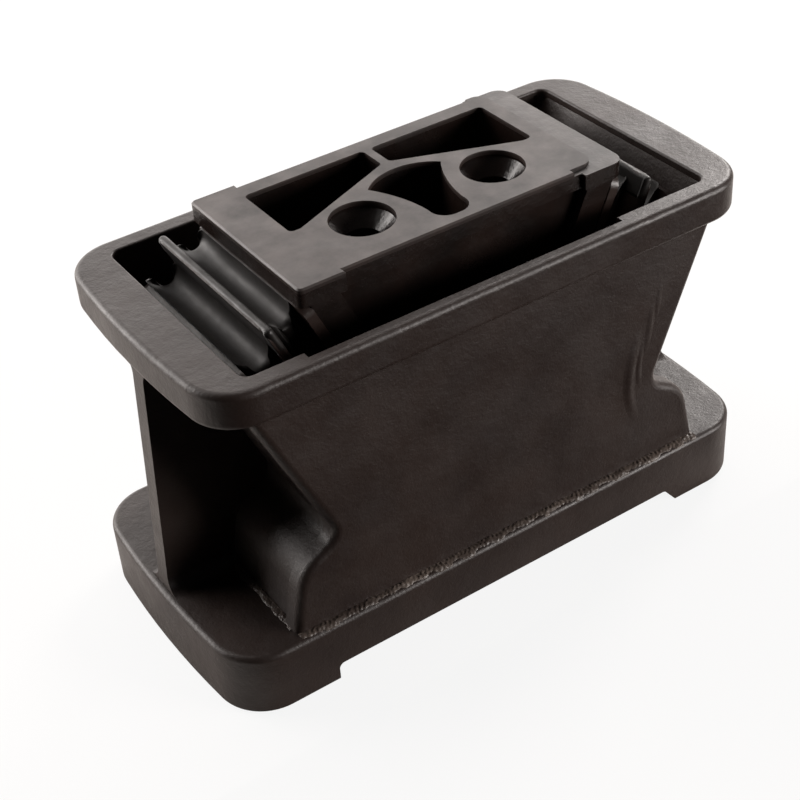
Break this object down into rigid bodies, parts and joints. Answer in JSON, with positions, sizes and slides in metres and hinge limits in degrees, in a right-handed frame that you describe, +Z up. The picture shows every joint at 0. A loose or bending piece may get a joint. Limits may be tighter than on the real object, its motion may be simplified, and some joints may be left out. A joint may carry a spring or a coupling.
{
  "type": "rubber-sprung pedestal mount",
  "caption": "Pedestal mount: hourglass cast housing with flanges carries a wedge-shaped bearing block between inclined rubber and steel packs over a rubber overload stop.",
  "frame": {"origin": "on the floor, under the middle of the housing", "axes": "+X along the housing's long side, +Y across it, +Z up; the rim relief and the bolt holes are on the -Y side"},
  "size_m": [0.318, 0.149, 0.2036],
  "materials": {
    "painted_cast_iron": "satin black paint over sand-cast iron",
    "plate_steel": "black painted steel plate, rubber flash on the edges",
    "dowel_steel": "turned steel",
    "zinc_steel": "zinc plated",
    "rubber": "moulded natural rubber, slightly shiny"
  },
  "bodies": {
    "pedestal": {"housing": "painted_cast_iron", "outer_plate_left": "plate_steel", "outer_plate_right": "plate_steel", "outer_rubber_left": "rubber", "outer_rubber_right": "rubber", "outer_dowels_left": "dowel_steel", "outer_dowels_right": "dowel_steel", "overload_buffer": "rubber", "buffer_seat": "plate_steel", "buffer_stud": "zinc_steel", "buffer_washer": "zinc_steel", "buffer_nut": "zinc_steel"},
    "saddle": {"bearing_block": "painted_cast_iron", "inner_plate_left": "plate_steel", "inner_plate_right": "plate_steel", "inner_dowels_left": "dowel_steel", "inner_dowels_right": "dowel_steel", "inner_rubber_left": "rubber", "inner_rubber_right": "rubber"},
    "interleaf_left": {"interleaf_plate_left": "plate_steel"},
    "interleaf_right": {"interleaf_plate_right": "plate_steel"}
  },
  "joints": [
    {"name": "block_settle", "type": "slide", "parent": "pedestal", "child": "saddle", "axis": [0, 0, 1], "range_m": [-0.01, 0.003], "stiffness_N_per_m": 400000, "deforming": ["inner_rubber_left", "inner_rubber_right"]},
    {"name": "interleaf_left_settle", "type": "slide", "parent": "pedestal", "child": "interleaf_left", "axis": [0, 0, 1], "range_m": [-0.005, 0.0015], "deforming": ["outer_rubber_left"]},
    {"name": "interleaf_right_settle", "type": "slide", "parent": "pedestal", "child": "interleaf_right", "axis": [0, 0, 1], "range_m": [-0.005, 0.0015], "deforming": ["outer_rubber_right"]}
  ],
  "couplings": [
    {"joint": "interleaf_left_settle", "follows": "block_settle", "ratio": 0.5},
    {"joint": "interleaf_right_settle", "follows": "block_settle", "ratio": 0.5}
  ]
}
